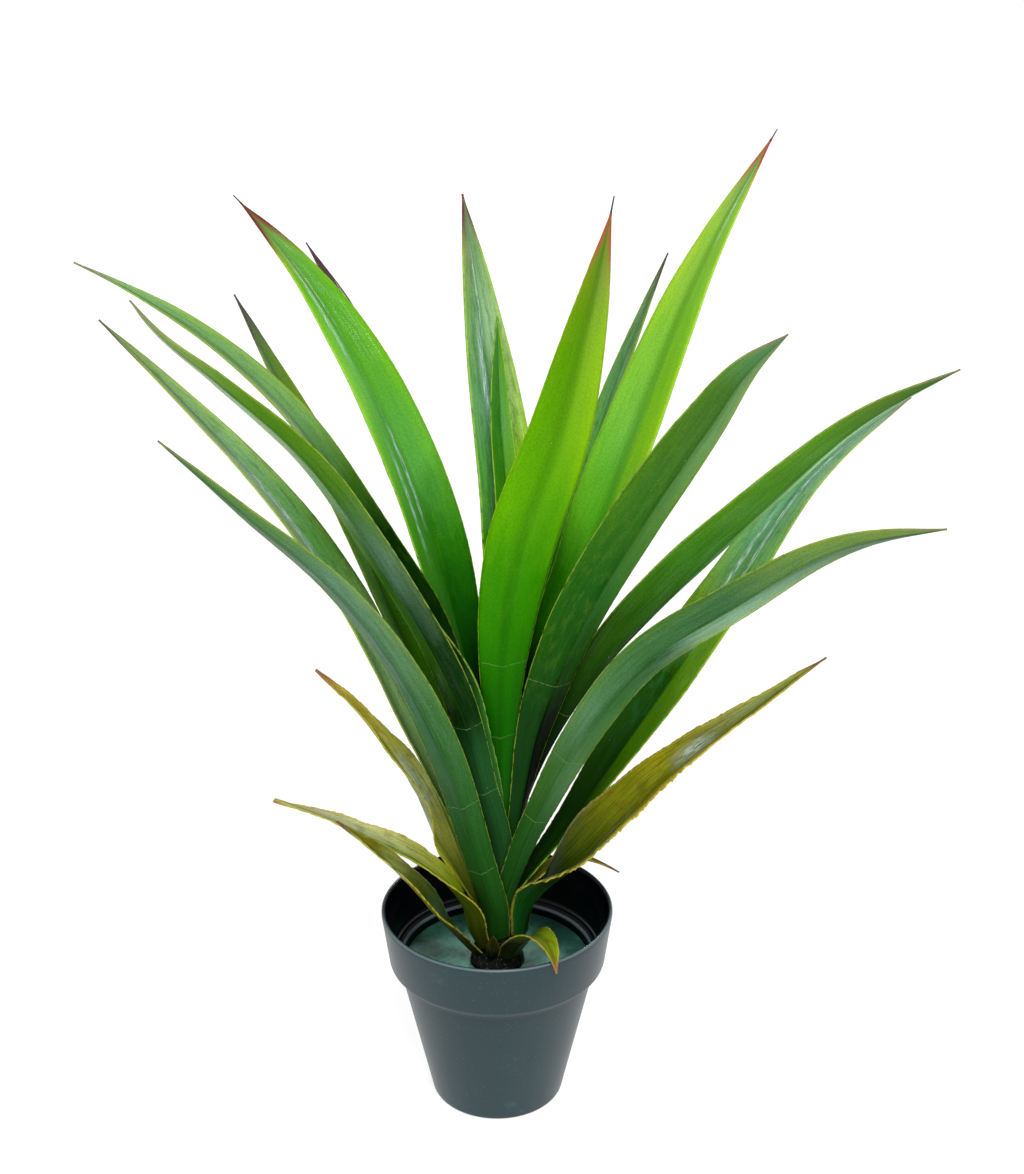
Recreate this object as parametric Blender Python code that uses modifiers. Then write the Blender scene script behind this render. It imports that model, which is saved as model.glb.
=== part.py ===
"""Artificial yucca with long sword leaves, standing in a round plastic nursery pot.

Metres, +Z up. The origin is the centre of the pot's flat base, and the pot stands on z = 0.
The side that a viewer sees faces -Y.
"""
import math

import bpy
import bmesh
from mathutils import Vector

# ---- driving dimensions, in metres ------------------------------------------------------

POT_RIM_RADIUS = 0.0750
POT_RIM_HEIGHT = 0.1360
POT_COLLAR_FOOT_RADIUS = 0.0702
POT_COLLAR_FOOT_HEIGHT = 0.0996
POT_BODY_TOP_RADIUS = 0.0636
POT_BASE_RADIUS = 0.0434
POT_WALL = 0.0015
POT_FLOOR = 0.0020
TURN_STEPS = 64

FILLER_TOP = 0.0955
FILLER_TOP_RADIUS = 0.0609
FILLER_BASE_RADIUS = 0.0404
PLUG_RADIUS = 0.0170
PLUG_TOP = 0.1180
STEM_SOCKET_DEPTH = 0.0550

STEM_FOOT_RADIUS = 0.0054
STEM_TOP_RADIUS = 0.0040
STEM_TOP = 0.2360

LEAF_THICKNESS = 0.0012
LEAF_LENGTH_STEPS = 16
LEAF_WIDTH_STEPS = 4
TIP_WIDTH_SHARE = 0.03
BASE_EXTRA_FOLD = 12.0
WIRE_RADIUS = 0.0005

GAP = 0.0003
MM = 0.001

# ---- leaves -----------------------------------------------------------------------------
# Each leaf follows a smooth route of hand-placed points in millimetres, from its base on
# the stem to its tip. width is its widest part in millimetres. fold is the angle of each
# half above the flat, and keel is the compass heading of the outer side at the base and at
# the tip, in degrees from +X. roll turns the blade about its own length. neck is the base's
# share of the full width, and belly is where along the leaf the full width is reached. A
# high taper keeps the leaf broad until near its tip, and a taper of 1 narrows it evenly.

LEAVES = {
    "leaf_left_high": {
        "kind": "green", "width": 32, "fold": 25, "keel": (-100, 178),
        "roll": -18, "neck": 0.36, "belly": 0.45, "taper": 1.8,
        "route": [
            (0.9, -6.6, 190), (-1.8, -10.2, 224), (-9.5, -12, 262), (-20, -12, 309),
            (-70, -9, 393), (-125, -5, 477), (-169, -5, 517), (-203, -5, 539),
            (-236, -5, 556),
        ],
    },
    "leaf_left_front": {
        "kind": "green", "width": 25, "fold": 25, "keel": (-90, 190),
        "roll": 50, "neck": 0.74, "belly": 0.55, "taper": 1.8,
        "route": [
            (4.2, -7.3, 156), (1.6, -12.3, 192), (-7.5, -18, 230), (-23, -24, 295),
            (-64, -27, 380), (-109, -29, 450), (-153, -32, 493), (-187, -34, 524),
            (-200, -34, 541),
        ],
    },
    "leaf_left_back": {
        "kind": "green", "width": 36, "fold": 25, "keel": (185, 183),
        "roll": -25, "neck": 0.25, "belly": 0.45, "taper": 1.8,
        "route": [
            (-7, 0.5, 125), (-30, 3, 200), (-59, 3, 277), (-85, 0, 341),
            (-119, -4, 402), (-172, -8, 469), (-223, -12, 525),
        ],
    },
    "leaf_left_low": {
        "kind": "green", "width": 26, "fold": 25, "keel": (-98, 208),
        "roll": 42, "neck": 0.82, "belly": 0.42, "taper": 1.8,
        "route": [
            (-0.8, -11.4, 118.2), (-1.7, -16.2, 142.5), (-9, -20.5, 173), (-29, -28, 252),
            (-51, -42, 313), (-87, -64, 379), (-136, -88, 437), (-176, -104, 482),
        ],
    },
    "leaf_left_inner": {
        "kind": "green", "width": 34, "fold": 25, "keel": (150, 155),
        "roll": -10, "neck": 0.26, "belly": 0.45, "taper": 1.8,
        "route": [
            (-4, 4.5, 198), (-30, 20, 249), (-63, 33, 326), (-95, 46, 398),
            (-133, 62, 471), (-159, 72, 521),
        ],
    },
    "leaf_upper_left": {
        "kind": "bright", "width": 45, "fold": 22, "keel": (125, 140),
        "roll": -10, "neck": 0.2, "belly": 0.45, "taper": 2.3,
        "route": [
            (-3, 4.6, 208), (-21, 22, 313), (-57, 54, 428), (-119, 104, 526),
            (-161, 132, 566),
        ],
    },
    "leaf_upper_left_back": {
        "kind": "bright", "width": 34, "fold": 20, "keel": (105, 130),
        "roll": 0, "neck": 0.25, "belly": 0.45, "taper": 1.8,
        "route": [
            (3.5, 8.4, 224), (-6, 30, 274), (-26, 50, 335), (-65, 84, 422),
            (-99, 124, 504), (-122, 142, 539),
        ],
    },
    "leaf_top_centre": {
        "kind": "bright", "width": 39, "fold": 20, "keel": (70, 104),
        "roll": 0, "neck": 0.25, "belly": 0.45, "taper": 2,
        "route": [
            (3.5, 4.6, 231), (9, 17, 345), (7, 24, 407), (-6, 45, 499),
            (-20, 80, 580),
        ],
    },
    "leaf_top_small": {
        "kind": "bright", "width": 16, "fold": 20, "keel": (60, 95),
        "roll": 0, "neck": 0.3, "belly": 0.5, "taper": 3.2,
        "route": [
            (1.2, -0.5, 236.6), (7, 8, 410), (3, 18, 460), (1, 30, 517),
        ],
    },
    "leaf_front_centre": {
        "kind": "bright", "width": 45, "fold": 18, "keel": (-75, -82),
        "roll": 0, "neck": 0.33, "belly": 0.5, "taper": 1.8,
        "route": [
            (3.5, -4.3, 200), (3.5, -9.5, 272), (5, -14, 318), (16, -22, 394),
            (36, -33, 461), (51, -48, 532), (61, -70, 595),
        ],
    },
    "leaf_upper_right_back": {
        "kind": "green", "width": 22, "fold": 20, "keel": (60, 50),
        "roll": 0, "neck": 0.3, "belly": 0.45, "taper": 1.8,
        "route": [
            (4.4, 5.1, 207), (25, 52, 322), (53, 80, 392), (74, 104, 452),
            (109, 134, 534),
        ],
    },
    "leaf_upper_right": {
        "kind": "bright", "width": 52, "fold": 20, "keel": (0, 42),
        "roll": 0, "neck": 0.18, "belly": 0.42, "taper": 1.8,
        "route": [
            (5.6, 2.2, 222), (28, 14, 310), (57, 38, 368), (84, 66, 433),
            (127, 112, 528), (174, 155, 602),
        ],
    },
    "leaf_right_front": {
        "kind": "green", "width": 45, "fold": 25, "keel": (-50, -14),
        "roll": -50, "neck": 0.25, "belly": 0.58, "taper": 3.2,
        "route": [
            (6.5, -3.2, 160), (15, -8, 216), (24, -15, 269), (48, -22, 341),
            (81, -30, 407), (118, -36, 469), (143, -40, 507), (161, -42, 524),
        ],
    },
    "leaf_right_high": {
        "kind": "green", "width": 47, "fold": 25, "keel": (5, 2),
        "roll": -50, "neck": 0.25, "belly": 0.5, "taper": 1.8,
        "route": [
            (5.2, 1.3, 172), (33, 8, 251), (66, 11, 306), (107, 12, 355),
            (158, 12, 406), (216, 12, 459), (271, 12, 490),
        ],
    },
    "leaf_right_back": {
        "kind": "green", "width": 46, "fold": 20, "keel": (20, 22),
        "roll": 15, "neck": 0.35, "belly": 0.45, "taper": 1.8,
        "route": [
            (5.2, 1.7, 138), (40, 16, 180), (84, 32, 242), (146, 56, 330),
            (202, 82, 404), (265, 105, 447),
        ],
    },
    "leaf_right_arch": {
        "kind": "green", "width": 31, "fold": 25, "keel": (-75, -28),
        "roll": -60, "neck": 0.5, "belly": 0.6, "taper": 1.8,
        "route": [
            (0, -7.4, 126), (8.7, -13.8, 163), (19, -18.5, 196.5), (27.7, -22, 219),
            (49, -34, 270), (84, -50, 329), (133, -76, 377), (190, -109, 426),
            (235, -132, 443),
        ],
    },
    "old_leaf_right": {
        "kind": "olive", "width": 61, "fold": 25, "keel": (-58, -28),
        "roll": 33, "neck": 0.27, "belly": 0.29, "taper": 0.9,
        "route": [
            (15.7, -5.4, 117.8), (17.8, -10.2, 138), (25, -15.8, 158.5), (53.5, -28, 195),
            (103, -52, 262.5), (150, -79, 317), (184, -95, 354),
        ],
    },
    "old_leaf_left_high": {
        "kind": "olive", "width": 34, "fold": 25, "keel": (150, 190),
        "roll": -15, "neck": 0.22, "belly": 0.4, "taper": 1.4,
        "route": [
            (-5.5, 7, 119.4), (-34, 13, 174), (-48, 9, 215), (-77, 0, 266),
            (-110, -8, 307),
        ],
    },
    "old_leaf_left_low": {
        "kind": "olive", "width": 27, "fold": 25, "keel": (232, 200),
        "roll": -20, "neck": 0.62, "belly": 0.16, "taper": 1.5,
        "route": [
            (-8.7, -12.9, 113.2), (-14.5, -17, 128), (-18.5, -19.5, 149.5), (-31, -19, 167),
            (-46, -18, 179), (-84, -28, 206.5), (-133, -48, 240),
        ],
    },
    "old_leaf_left_front": {
        "kind": "olive", "width": 25, "fold": 22, "keel": (215, 212),
        "roll": -25, "neck": 0.6, "belly": 0.45, "taper": 1.8,
        "route": [
            (-14, -8.6, 106.8), (-32, -23, 139), (-58, -43.5, 187), (-95, -64, 233),
        ],
    },
    "curled_leaf_front": {
        "kind": "olive", "width": 23, "fold": 15, "keel": (-72, -60),
        "roll": 0, "neck": 0.74, "belly": 0.3, "taper": 1.8,
        "route": [
            (8.2, -15.4, 107.3), (13.5, -26, 124), (25, -42, 141), (33, -59, 143),
            (37, -75, 134),
        ],
    },
    "sheath_front": {
        "kind": "olive", "width": 9, "fold": 25, "keel": (-98, -98),
        "roll": 0, "neck": 0.8, "belly": 0.4, "taper": 2.6,
        "route": [
            (-3.5, -16.6, 107.5), (-2.8, -19.8, 116), (-2, -21, 126),
        ],
    },
    "old_leaf_back_right": {
        "kind": "olive", "width": 12, "fold": 25, "keel": (40, 20),
        "roll": 0, "neck": 0.4, "belly": 0.45, "taper": 1.8,
        "route": [
            (6.5, 7, 119), (26, 14, 150), (48, 22, 159), (64, 29, 152),
            (81, 35, 140),
        ],
    },
}

# Leaves whose core wire stands out of the tip, with the length that shows.
TIP_WIRES = {
    "leaf_upper_left": 0.007,
    "leaf_front_centre": 0.010,
    "leaf_upper_right": 0.008,
}

# ---- colours ----------------------------------------------------------------------------

GREEN = (0.045, 0.170, 0.035)
BRIGHT_GREEN = (0.100, 0.300, 0.030)
OLIVE = (0.190, 0.185, 0.035)
POT_SLATE = (0.040, 0.058, 0.068)
FILLER_TEAL = (0.030, 0.120, 0.095)
GLUE_BLACK = (0.012, 0.012, 0.010)
STEM_GREEN = (0.030, 0.085, 0.030)
WIRE_BROWN = (0.050, 0.030, 0.022)


# ---- helpers ----------------------------------------------------------------------------

def clear_scene():
    for item in list(bpy.data.objects):
        bpy.data.objects.remove(item, do_unlink=True)
    for group in list(bpy.data.collections):
        bpy.data.collections.remove(group)


def make_material(name, colour, roughness, metallic=0.0):
    material = bpy.data.materials.new(name)
    material.use_nodes = True
    shader = material.node_tree.nodes["Principled BSDF"]
    shader.inputs["Base Color"].default_value = (*colour, 1.0)
    shader.inputs["Roughness"].default_value = roughness
    shader.inputs["Metallic"].default_value = metallic
    return material


def add_object(name, data, material, collection):
    item = bpy.data.objects.new(name, data)
    item.data.materials.append(material)
    collection.objects.link(item)
    return item


def add_turned(name, profile, material, collection):
    """Turn a profile of (radius, height) points round the Z axis."""
    bm = bmesh.new()
    verts = [bm.verts.new((radius, 0.0, height)) for radius, height in profile]
    for first, second in zip(verts, verts[1:]):
        bm.edges.new((first, second))
    mesh = bpy.data.meshes.new(name)
    bm.to_mesh(mesh)
    bm.free()
    item = add_object(name, mesh, material, collection)
    screw = item.modifiers.new("turn", "SCREW")
    screw.axis = "Z"
    screw.angle = math.tau
    screw.screw_offset = 0.0
    screw.steps = TURN_STEPS
    screw.render_steps = TURN_STEPS
    screw.use_merge_vertices = True
    screw.merge_threshold = 0.00001
    screw.use_smooth_shade = True
    return item


# ---- leaf geometry ----------------------------------------------------------------------

def ease(x):
    x = min(1.0, max(0.0, x))
    return x * x * (3.0 - 2.0 * x)


def heading(degrees):
    angle = math.radians(degrees)
    return Vector((math.cos(angle), math.sin(angle), 0.0))


def route_knots(points):
    """Distance along the route at each of its points."""
    knots = [0.0]
    for first, second in zip(points, points[1:]):
        knots.append(knots[-1] + (second - first).length)
    return knots


def route_slopes(points, knots):
    """Slopes for a smooth curve that passes through every point of the route."""
    last = len(points) - 1
    slopes = [Vector((0.0, 0.0, 0.0)) for _ in points]
    for i in range(1, last):
        before = knots[i] - knots[i - 1]
        after = knots[i + 1] - knots[i]
        rise_before = (points[i] - points[i - 1]) / before
        rise_after = (points[i + 1] - points[i]) / after
        slopes[i] = (rise_before * after + rise_after * before) / (before + after)
    start_rise = (points[1] - points[0]) / (knots[1] - knots[0])
    end_rise = (points[-1] - points[-2]) / (knots[-1] - knots[-2])
    slopes[0] = 1.5 * start_rise - 0.5 * slopes[1]
    slopes[last] = 1.5 * end_rise - 0.5 * slopes[last - 1]
    return slopes


def route_point(points, knots, slopes, distance):
    i = 0
    while i < len(points) - 2 and distance > knots[i + 1]:
        i += 1
    span = knots[i + 1] - knots[i]
    u = (distance - knots[i]) / span
    start = (1 + 2 * u) * (1 - u) ** 2 * points[i]
    start_slope = u * (1 - u) ** 2 * span * slopes[i]
    end = u * u * (3 - 2 * u) * points[i + 1]
    end_slope = u * u * (u - 1) * span * slopes[i + 1]
    return start + start_slope + end + end_slope


def centre_line(leaf, steps):
    points = [Vector(point) * MM for point in leaf["route"]]
    knots = route_knots(points)
    slopes = route_slopes(points, knots)
    total = knots[-1]
    return [route_point(points, knots, slopes, total * i / steps) for i in range(steps + 1)]


def line_direction(line, i):
    ahead = line[min(i + 1, len(line) - 1)]
    behind = line[max(i - 1, 0)]
    return (ahead - behind).normalized()


def width_share(leaf, t):
    if t < leaf["belly"]:
        return leaf["neck"] + (1.0 - leaf["neck"]) * ease(t / leaf["belly"])
    past = (t - leaf["belly"]) / (1.0 - leaf["belly"])
    return max(TIP_WIDTH_SHARE, 1.0 - past ** leaf["taper"])


def blade_axes(leaf, direction, t):
    """The axis across the blade, and the one that the outer face turns away from."""
    start, end = leaf["keel"]
    turn = (end - start + 180.0) % 360.0 - 180.0
    outward = heading(start + turn * ease(t / 0.5))
    across = Vector((0.0, 0.0, 1.0)).cross(outward)
    across = (across - across.dot(direction) * direction).normalized()
    inward = direction.cross(across)
    roll = math.radians(leaf["roll"]) * ease(t / 0.35)
    rolled = math.cos(roll) * across + math.sin(roll) * inward
    return rolled, math.cos(roll) * inward - math.sin(roll) * across


def blade_point(leaf, line, i, side):
    """A point of the blade: i counts along its length, side runs from -1 to 1 across it."""
    t = i / (len(line) - 1)
    across, inward = blade_axes(leaf, line_direction(line, i), t)
    half = 0.5 * leaf["width"] * MM * width_share(leaf, t)
    fold = math.radians(leaf["fold"] + BASE_EXTRA_FOLD * (1.0 - t) ** 2)
    spread = half * side * math.cos(fold)
    lift = half * (abs(side) - 0.5) * math.sin(fold)
    return line[i] + spread * across + lift * inward


def add_leaf(name, leaf, material, collection):
    line = centre_line(leaf, LEAF_LENGTH_STEPS)
    bm = bmesh.new()
    bmesh.ops.create_grid(
        bm, x_segments=LEAF_LENGTH_STEPS, y_segments=LEAF_WIDTH_STEPS, size=1.0
    )
    for vert in bm.verts:
        i = round((vert.co.x + 1.0) / 2.0 * LEAF_LENGTH_STEPS)
        vert.co = blade_point(leaf, line, i, vert.co.y)
    mesh = bpy.data.meshes.new(name)
    bm.to_mesh(mesh)
    bm.free()
    item = add_object(name, mesh, material, collection)
    solidify = item.modifiers.new("thickness", "SOLIDIFY")
    solidify.thickness = LEAF_THICKNESS
    solidify.offset = 0.0
    return item


def add_tip_wire(name, leaf, length, material, collection):
    """The bare end of a leaf's core wire, straight on from the tip."""
    line = centre_line(leaf, LEAF_LENGTH_STEPS)
    direction = line_direction(line, len(line) - 1)
    start = line[-1] + direction * GAP
    curve = bpy.data.curves.new(name, "CURVE")
    curve.dimensions = "3D"
    curve.bevel_depth = WIRE_RADIUS
    curve.bevel_resolution = 2
    curve.use_fill_caps = True
    spline = curve.splines.new("POLY")
    spline.points.add(1)
    spline.points[0].co = (*start, 1.0)
    spline.points[1].co = (*(start + direction * length), 1.0)
    return add_object(name, curve, material, collection)


# ---- pot, filler and stem ---------------------------------------------------------------

def pot_profile():
    """Inside floor, inner wall and ledge, rolled rim, outer side down to the flat base."""
    return [
        (0.0, POT_FLOOR),
        (0.0408, POT_FLOOR),
        (0.0618, 0.0970),
        (0.0630, 0.1012),
        (0.0650, 0.1030),
        (0.0678, 0.1034),
        (0.0686, 0.1050),
        (0.0720, 0.1345),
        (0.0728, POT_RIM_HEIGHT),
        (0.0743, POT_RIM_HEIGHT),
        (POT_RIM_RADIUS, 0.1352),
        (0.0748, 0.1320),
        (POT_COLLAR_FOOT_RADIUS, POT_COLLAR_FOOT_HEIGHT),
        (0.0694, 0.0990),
        (0.0641, 0.0992),
        (POT_BODY_TOP_RADIUS, 0.0984),
        (POT_BASE_RADIUS, 0.0014),
        (0.0427, 0.0004),
        (0.0416, 0.0),
        (0.0, 0.0),
    ]


def filler_profile():
    """A block that fills the pot, with a dip for the glue and a blind hole for the stem."""
    hole = STEM_FOOT_RADIUS + GAP
    return [
        (0.0, STEM_SOCKET_DEPTH),
        (hole, STEM_SOCKET_DEPTH),
        (hole, 0.0925),
        (PLUG_RADIUS, 0.0925),
        (PLUG_RADIUS + 0.0010, FILLER_TOP),
        (FILLER_TOP_RADIUS - 0.0010, FILLER_TOP),
        (FILLER_TOP_RADIUS, FILLER_TOP - 0.0010),
        (FILLER_BASE_RADIUS, POT_FLOOR + GAP),
        (0.0, POT_FLOOR + GAP),
    ]


def plug_profile():
    """A steep mound of black glue and grit round the foot of the stem."""
    inner = STEM_FOOT_RADIUS + GAP
    return [
        (inner, 0.0928),
        (inner, PLUG_TOP - 0.0008),
        (inner + 0.0012, PLUG_TOP),
        (0.0105, PLUG_TOP),
        (0.0125, PLUG_TOP - 0.0015),
        (0.0165, 0.1010),
        (PLUG_RADIUS + 0.0004, FILLER_TOP + 0.0004),
        (PLUG_RADIUS - GAP, 0.0928),
        (inner, 0.0928),
    ]


def stem_profile():
    """A plain core, thickest where the lowest leaves leave it."""
    return [
        (0.0, STEM_TOP),
        (STEM_TOP_RADIUS - 0.0012, STEM_TOP - 0.0004),
        (STEM_TOP_RADIUS, STEM_TOP - 0.0020),
        (STEM_TOP_RADIUS, 0.1800),
        (0.0048, 0.1450),
        (STEM_FOOT_RADIUS, 0.1280),
        (STEM_FOOT_RADIUS, STEM_SOCKET_DEPTH + GAP),
        (0.0, STEM_SOCKET_DEPTH + GAP),
    ]


def leaf_material(name, kind):
    colours = {"green": GREEN, "bright": BRIGHT_GREEN, "olive": OLIVE}
    return make_material(name + "_plastic", colours[kind], 0.32)


def build():
    clear_scene()
    collection = bpy.data.collections.new("potted_yucca")
    bpy.context.scene.collection.children.link(collection)
    add_turned("pot", pot_profile(), make_material("pot_plastic", POT_SLATE, 0.42), collection)
    filler = make_material("filler_paint", FILLER_TEAL, 0.60)
    add_turned("filler_block", filler_profile(), filler, collection)
    glue = make_material("glue_plug_mix", GLUE_BLACK, 0.55)
    add_turned("glue_plug", plug_profile(), glue, collection)
    stem = make_material("stem_plastic", STEM_GREEN, 0.50)
    add_turned("stem", stem_profile(), stem, collection)
    for name, leaf in LEAVES.items():
        add_leaf(name, leaf, leaf_material(name, leaf["kind"]), collection)
    for name, length in TIP_WIRES.items():
        wire_name = name.replace("leaf", "tip_wire")
        wire = make_material(wire_name + "_steel", WIRE_BROWN, 0.45, 0.6)
        add_tip_wire(wire_name, LEAVES[name], length, wire, collection)


build()
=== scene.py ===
import math

import bpy
import bmesh
from mathutils import Matrix, Vector, noise


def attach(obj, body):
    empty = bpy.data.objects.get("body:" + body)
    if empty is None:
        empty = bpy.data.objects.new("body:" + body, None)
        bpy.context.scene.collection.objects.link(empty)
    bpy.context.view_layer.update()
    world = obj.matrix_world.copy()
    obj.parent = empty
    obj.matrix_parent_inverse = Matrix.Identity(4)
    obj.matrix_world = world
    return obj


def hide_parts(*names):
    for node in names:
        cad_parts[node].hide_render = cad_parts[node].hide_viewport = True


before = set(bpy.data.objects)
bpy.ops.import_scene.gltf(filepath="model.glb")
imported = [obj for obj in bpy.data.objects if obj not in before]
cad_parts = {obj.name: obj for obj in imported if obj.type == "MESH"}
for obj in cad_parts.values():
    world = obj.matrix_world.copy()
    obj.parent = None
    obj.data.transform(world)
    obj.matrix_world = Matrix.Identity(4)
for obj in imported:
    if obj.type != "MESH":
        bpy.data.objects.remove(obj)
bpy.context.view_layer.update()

# ---- studio -----------------------------------------------------------------------------
# The plant stands on a wide white sweep that is lit until it glows, under a lamp high in
# front, a broader one low in front and one behind. The camera stands before the plant's
# front, which faces -Y, and looks down on it.

MM = 0.001
ROOM_WHITE = (1.0, 1.0, 1.0)
ROOM_GLOW = 0.32
FLOOR_REACH = 12.0
FLOOR_DROP = 0.4 * MM
FLOOR_GLOW = 0.82


def add_camera(place, pitch_down, lens):
    data = bpy.data.cameras.new("camera")
    data.lens = lens
    data.sensor_width = 36.0
    data.clip_start = 0.05
    data.clip_end = 60.0
    camera = bpy.data.objects.new("camera", data)
    camera.location = place
    camera.rotation_euler = (math.radians(90.0 - pitch_down), 0.0, 0.0)
    bpy.context.scene.collection.objects.link(camera)
    bpy.context.scene.camera = camera


def add_lamp(name, from_direction, spread, strength):
    """A distant soft lamp, whose spread in degrees sets how soft its shadows are."""
    data = bpy.data.lights.new(name, "SUN")
    data.energy = strength
    data.angle = math.radians(spread)
    lamp = bpy.data.objects.new(name, data)
    lamp.rotation_euler = Vector(from_direction).to_track_quat("Z", "Y").to_euler()
    bpy.context.scene.collection.objects.link(lamp)


def add_world():
    world = bpy.data.worlds.new("white_room")
    bpy.context.scene.world = world
    world.use_nodes = True
    background = world.node_tree.nodes["Background"]
    background.inputs["Color"].default_value = (*ROOM_WHITE, 1.0)
    background.inputs["Strength"].default_value = ROOM_GLOW


add_camera(place=(0.0097, -1.0097, 0.7593), pitch_down=21.66, lens=55.2)
add_lamp("front_lamp", (0.10, -0.58, 0.81), spread=16.0, strength=2.1)
add_lamp("low_lamp", (-0.15, -0.93, 0.32), spread=40.0, strength=0.9)
add_lamp("back_lamp", (0.20, 0.70, 0.68), spread=10.0, strength=0.8)
add_world()
bpy.context.scene.view_settings.view_transform = "Standard"


class Wire:
    """The output of a shader node, which takes part in ordinary sums."""

    def __init__(self, paint, socket):
        self.paint = paint
        self.socket = socket

    def sum_with(self, operation, *values):
        return self.paint.node("ShaderNodeMath", dict(enumerate(values)), operation=operation)

    def __add__(self, other):
        return self.sum_with("ADD", self, other)

    def __radd__(self, other):
        return self.sum_with("ADD", other, self)

    def __sub__(self, other):
        return self.sum_with("SUBTRACT", self, other)

    def __rsub__(self, other):
        return self.sum_with("SUBTRACT", other, self)

    def __mul__(self, other):
        return self.sum_with("MULTIPLY", self, other)

    def __rmul__(self, other):
        return self.sum_with("MULTIPLY", other, self)

    def __abs__(self):
        return self.sum_with("ABSOLUTE", self)


class Paint:
    """One material's node tree. node() adds any node and returns one of its outputs."""

    def __init__(self, name):
        self.material = bpy.data.materials.new(name)
        self.material.use_nodes = True
        self.tree = self.material.node_tree
        self.shader = self.tree.nodes["Principled BSDF"]
        self.object_place = self.node("ShaderNodeTexCoord", {}, output="Object")

    def node(self, kind, values, output=0, stops=None, **settings):
        made = self.tree.nodes.new(kind)
        for setting, value in settings.items():
            setattr(made, setting, value)
        if stops:
            ramp = made.color_ramp.elements
            while len(ramp) < len(stops):
                ramp.new(1.0)
            for element, (place, colour) in zip(ramp, stops):
                element.position = place
                element.color = (*colour, 1.0)
        for key, value in values.items():
            self.fill(made.inputs[key], value)
        return Wire(self, made.outputs[output])

    def fill(self, socket, value):
        if isinstance(value, Wire):
            self.tree.links.new(value.socket, socket)
        elif isinstance(value, tuple) and len(value) == 3 and socket.type == "RGBA":
            socket.default_value = (*value, 1.0)
        else:
            socket.default_value = value

    def blend(self, first, second, share, how="MIX"):
        """The first colour at a share of 0, and the second, or their product, at 1."""
        values = {0: share, 6: first, 7: second}
        return self.node("ShaderNodeMix", values, output=2, data_type="RGBA", blend_type=how)

    def step(self, value, low, high):
        """0 below low, 1 above high and smooth between them."""
        values = {"Value": value, "From Min": low, "From Max": high}
        return self.node("ShaderNodeMapRange", values, interpolation_type="SMOOTHSTEP")

    def cloud(self, scale, detail=3.0, place=None, roughness=0.5):
        """Soft noise around 0.5."""
        values = {"Vector": place or self.object_place, "Scale": scale, "Detail": detail}
        return self.node("ShaderNodeTexNoise", {**values, "Roughness": roughness})

    def parts(self, vector):
        return [self.node("ShaderNodeSeparateXYZ", {0: vector}, output=i) for i in range(3)]

    def finish(self, colour, roughness, height=None, depth=0.0003, strength=1.0, **constants):
        """Fills the shader's sockets. depth is how far, in metres, the height stands out."""
        self.fill(self.shader.inputs["Base Color"], colour)
        self.fill(self.shader.inputs["Roughness"], roughness)
        if height is not None:
            values = {"Strength": strength, "Distance": depth, "Height": height}
            self.fill(self.shader.inputs["Normal"], self.node("ShaderNodeBump", values))
        for name, value in constants.items():
            socket = name.replace("_", " ").title().replace("Ior", "IOR")
            self.fill(self.shader.inputs[socket], value)
        return self.material


def tint(red, green, blue):
    """A colour as the shaders take it, from the usual 0 to 255 scale."""
    return tuple((value / 255.0) ** 2.2 for value in (red, green, blue))


def add_piece(name, mesh, material, node):
    """A finished piece of the plant, which rides on its one body and stands for a node."""
    piece = bpy.data.objects.new(name, mesh)
    piece.data.materials.append(material)
    bpy.context.scene.collection.objects.link(piece)
    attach(piece, "root")
    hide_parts(node)
    return piece


def add_floor():
    bm = bmesh.new()
    bmesh.ops.create_grid(bm, x_segments=1, y_segments=1, size=FLOOR_REACH)
    mesh = bpy.data.meshes.new("floor")
    bm.to_mesh(mesh)
    bm.free()
    mesh.transform(Matrix.Translation((0.0, 0.0, -FLOOR_DROP)))
    paint = Paint("white_sweep")
    white = paint.finish(
        (0.30, 0.30, 0.30), 0.9, specular_ior_level=0.0, emission_color=ROOM_WHITE,
        emission_strength=FLOOR_GLOW,
    )
    mesh.materials.append(white)
    floor = bpy.data.objects.new("floor", mesh)
    bpy.context.scene.collection.objects.link(floor)


add_floor()

# ---- nursery pot ------------------------------------------------------------------------
# A thin injection-moulded pot in slate-grey polypropylene. Its deep collar stands proud of
# the tapered body. Inside, where the mould was polished, a ledge with two fine steps leads
# down to the filler. The inside is painted near-black as painted shade, and its steps carry
# painted highlight rings.

POT_TURNS = 128
SHARPEST_SMOOTH_ANGLE = 50.0
RIM_EDGE = 135.2 * MM
COLLAR_FOOT = 100.6 * MM
LEDGE_TOP = 105.0 * MM
NECK_FOOT = 96.0 * MM
COLLAR_SLOPE = 0.129
UPPER_STEP_RADIUS = 66.6 * MM
LOWER_STEP_RADIUS = 62.7 * MM


def turned_mesh(name, profile, turns):
    """A profile of (radius, height) points in millimetres, spun round the Z axis."""
    bm = bmesh.new()
    verts = [bm.verts.new((r * MM, 0.0, z * MM)) for r, z in profile]
    edges = [bm.edges.new(pair) for pair in zip(verts, verts[1:])]
    bmesh.ops.spin(
        bm, geom=verts + edges, cent=(0, 0, 0), axis=(0, 0, 1), angle=math.tau,
        steps=turns, use_merge=True,
    )
    bmesh.ops.remove_doubles(bm, verts=bm.verts, dist=0.01 * MM)
    bmesh.ops.recalc_face_normals(bm, faces=bm.faces)
    mesh = bpy.data.meshes.new(name)
    bm.to_mesh(mesh)
    bm.free()
    mesh.shade_smooth()
    mesh.set_sharp_from_angle(angle=math.radians(SHARPEST_SMOOTH_ANGLE))
    return mesh


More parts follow.
